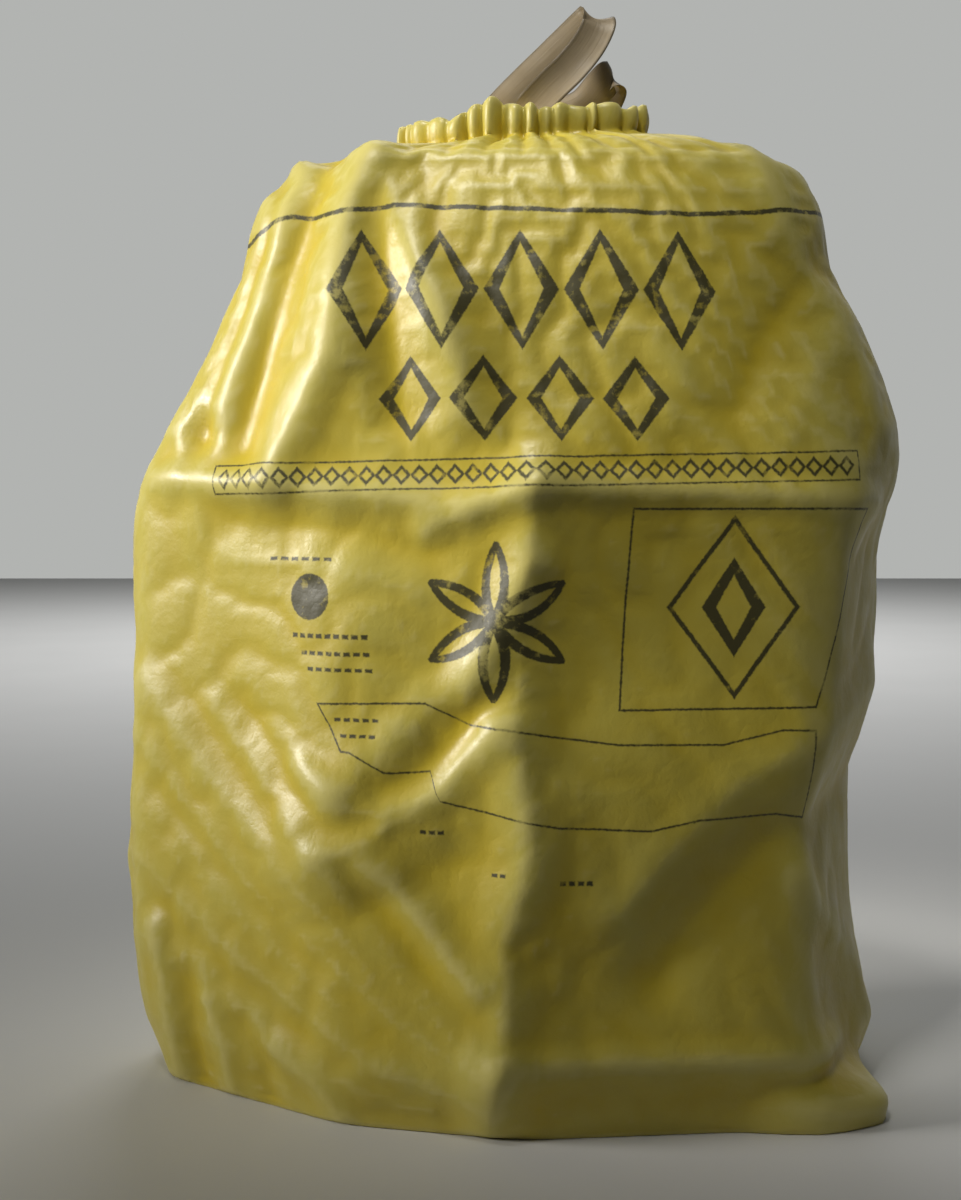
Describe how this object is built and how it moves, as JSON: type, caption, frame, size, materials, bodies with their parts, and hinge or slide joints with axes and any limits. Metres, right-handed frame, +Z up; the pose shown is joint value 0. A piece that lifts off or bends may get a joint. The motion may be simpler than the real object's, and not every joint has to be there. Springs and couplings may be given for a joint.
{
  "type": "clinical waste sack",
  "caption": "Filled plastic film sack for soft clinical waste, standing on its base, its mouth gathered shut by a flat draw tape that stands up in a folded loop.",
  "frame": {"origin": "middle of the base, on the floor", "axes": "+Z up, +X to the right and +Y to the back, with the printed front facing -Y"},
  "size_m": [0.5862, 0.339, 0.7993],
  "materials": {
    "film": "yellow polythene film about 0.06 mm thick, slightly translucent, semi-gloss, crumpled over the load, with plain dark olive printing on its front",
    "tape": "taupe polythene draw tape, flat and satin, a little creased along its length"
  },
  "bodies": {
    "root": {"film_bag": "film", "draw_tape": "tape"}
  },
  "joints": []
}
